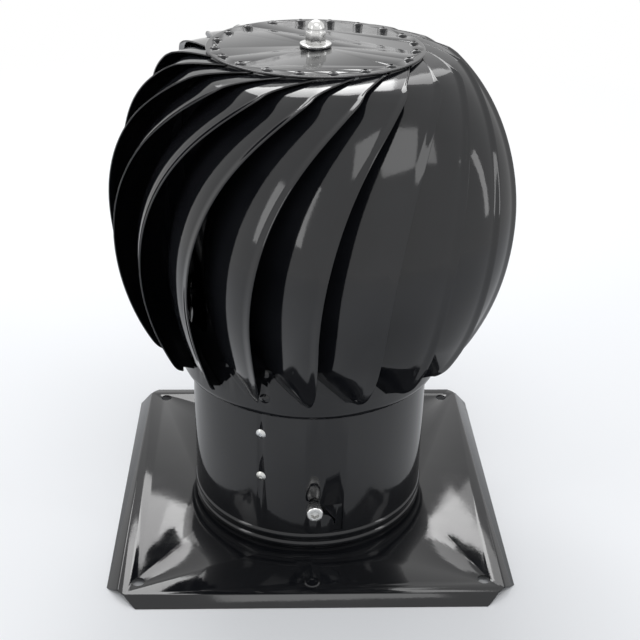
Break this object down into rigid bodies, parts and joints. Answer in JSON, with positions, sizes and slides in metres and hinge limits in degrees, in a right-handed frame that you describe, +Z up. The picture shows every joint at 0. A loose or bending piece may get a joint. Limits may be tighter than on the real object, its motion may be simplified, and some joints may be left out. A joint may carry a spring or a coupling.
{
  "type": "rotating turbine chimney cowl",
  "caption": "Black rotating chimney cowl: a globe of swept blades under a flat disc turns on a round tube that stands on a square base plate with corner holes.",
  "frame": {"origin": "middle of the square base plate on the surface that its folded edges stand on", "axes": "+Z up along the tube and the rotor's axis, -Y towards the clamp screw, X along the plate's front edge"},
  "size_m": [0.248, 0.248, 0.318],
  "materials": {
    "powder_coat": "glossy near-black powder coat",
    "stainless": "bright stainless steel",
    "zinc": "zinc-plated steel",
    "bearing_steel": "ground bearing steel"
  },
  "bodies": {
    "base": {"base_plate": "powder_coat", "plate_plug": "powder_coat", "flue_collar": "powder_coat", "tube": "powder_coat", "clamp_screw": "stainless", "clamp_nut": "zinc", "tube_rivets": "zinc", "spider_leg_1": "zinc", "spider_leg_2": "zinc", "spider_leg_3": "zinc", "bearing_housing": "zinc", "upper_bearing_outer_ring": "bearing_steel", "upper_bearing_balls": "bearing_steel", "lower_bearing_outer_ring": "bearing_steel", "lower_bearing_balls": "bearing_steel"},
    "rotor": {"upper_bearing_inner_ring": "bearing_steel", "lower_bearing_inner_ring": "bearing_steel", "spindle": "stainless", "spacer_sleeve": "zinc", "lower_washer": "stainless", "spindle_nut": "stainless", "disc_lock_nut": "stainless", "disc_under_washer": "stainless", "top_disc": "powder_coat", "top_washer": "stainless", "dome_nut": "stainless", "disc_rivets": "powder_coat", "skirt_ring": "powder_coat", "ring_rivets": "powder_coat", "blade_01": "powder_coat", "blade_02": "powder_coat", "blade_03": "powder_coat", "blade_04": "powder_coat", "blade_05": "powder_coat", "blade_06": "powder_coat", "blade_07": "powder_coat", "blade_08": "powder_coat", "blade_09": "powder_coat", "blade_10": "powder_coat", "blade_11": "powder_coat", "blade_12": "powder_coat", "blade_13": "powder_coat", "blade_14": "powder_coat", "blade_15": "powder_coat", "blade_16": "powder_coat", "blade_17": "powder_coat", "blade_18": "powder_coat", "blade_19": "powder_coat", "blade_20": "powder_coat"}
  },
  "joints": [
    {"name": "rotor_spin", "type": "hinge", "parent": "base", "child": "rotor", "pos_m": [0, 0, 0.18], "axis": [0, 0, 1], "continuous": true}
  ]
}
